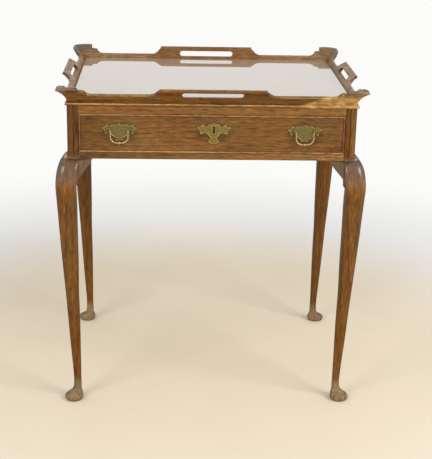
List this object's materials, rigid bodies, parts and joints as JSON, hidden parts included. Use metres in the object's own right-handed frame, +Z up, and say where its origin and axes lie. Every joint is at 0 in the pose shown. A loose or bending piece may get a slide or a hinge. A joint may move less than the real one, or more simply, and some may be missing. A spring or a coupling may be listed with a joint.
{
  "type": "tea table",
  "caption": "Oak tea table with cabriole legs, a drawer with brass bail pulls and a loose glazed tray with a coved gallery and hand-holds.",
  "frame": {"origin": "on the floor, below the middle of the table", "axes": "+Z up, the drawer front faces -Y, +X to the right of someone facing the drawer"},
  "size_m": [0.6506, 0.511, 0.709],
  "materials": {
    "oak_legs": "varnished, worn at the knees and feet",
    "oak_tray": "varnished, worn along the rim",
    "oak_drawer_front": "varnished, quarter grain",
    "oak_case": "varnished",
    "oak_inside": "bare, planed",
    "old_brass": "cast, dull with age",
    "lock_brass": "dull",
    "plate_glass": "polished"
  },
  "bodies": {
    "table_frame": {"back_rail": "oak_case", "drawer_guide_left": "oak_inside", "drawer_guide_right": "oak_inside", "drawer_kicker_left": "oak_inside", "drawer_kicker_right": "oak_inside", "drawer_runner_left": "oak_inside", "drawer_runner_right": "oak_inside", "drawer_stops": "oak_inside", "front_rail_backing": "oak_case", "front_rail_bottom": "oak_case", "front_rail_top": "oak_case", "knee_brackets_front_left": "oak_legs", "knee_brackets_front_right": "oak_legs", "knee_brackets_rear_left": "oak_legs", "knee_brackets_rear_right": "oak_legs", "leg_front_left": "oak_legs", "leg_front_right": "oak_legs", "leg_rear_left": "oak_legs", "leg_rear_right": "oak_legs", "side_rail_left": "oak_case", "side_rail_right": "oak_case"},
    "tray": {"gallery_back": "oak_tray", "gallery_front": "oak_tray", "gallery_left": "oak_tray", "gallery_right": "oak_tray", "glass_plate": "plate_glass", "tray_battens": "oak_inside", "tray_bead_back": "oak_tray", "tray_bead_front": "oak_tray", "tray_bead_left": "oak_tray", "tray_bead_right": "oak_tray", "tray_bottom": "oak_tray"},
    "drawer": {"cock_bead_bottom": "oak_drawer_front", "cock_bead_left": "oak_drawer_front", "cock_bead_right": "oak_drawer_front", "cock_bead_top": "oak_drawer_front", "drawer_back": "oak_inside", "drawer_bottom": "oak_inside", "drawer_front": "oak_drawer_front", "drawer_side_left": "oak_inside", "drawer_side_right": "oak_inside", "escutcheon": "old_brass", "escutcheon_pins": "old_brass", "lock_case": "lock_brass", "pull_nuts_left": "old_brass", "pull_nuts_right": "old_brass", "pull_plate_left": "old_brass", "pull_plate_right": "old_brass", "pull_posts_left": "old_brass", "pull_posts_right": "old_brass"},
    "bail_left": {"bail_left": "old_brass"},
    "bail_right": {"bail_right": "old_brass"},
    "lock_bolt": {"lock_bolt": "lock_brass"}
  },
  "joints": [
    {"name": "tray_lift", "type": "slide", "parent": "table_frame", "child": "tray", "axis": [0, 0, 1], "range_m": [0, 0.12]},
    {"name": "drawer_slide", "type": "slide", "parent": "table_frame", "child": "drawer", "axis": [0, -1, 0], "range_m": [0, 0.3]},
    {"name": "bail_left_swing", "type": "hinge", "parent": "drawer", "child": "bail_left", "pos_m": [-0.192, -0.239, 0.6165], "axis": [-1, 0, 0], "range_deg": [0, 90]},
    {"name": "bail_right_swing", "type": "hinge", "parent": "drawer", "child": "bail_right", "pos_m": [0.192, -0.239, 0.6165], "axis": [-1, 0, 0], "range_deg": [0, 90]},
    {"name": "bolt_throw", "type": "slide", "parent": "drawer", "child": "lock_bolt", "axis": [0, 0, 1], "range_m": [0, 0.006]}
  ]
}
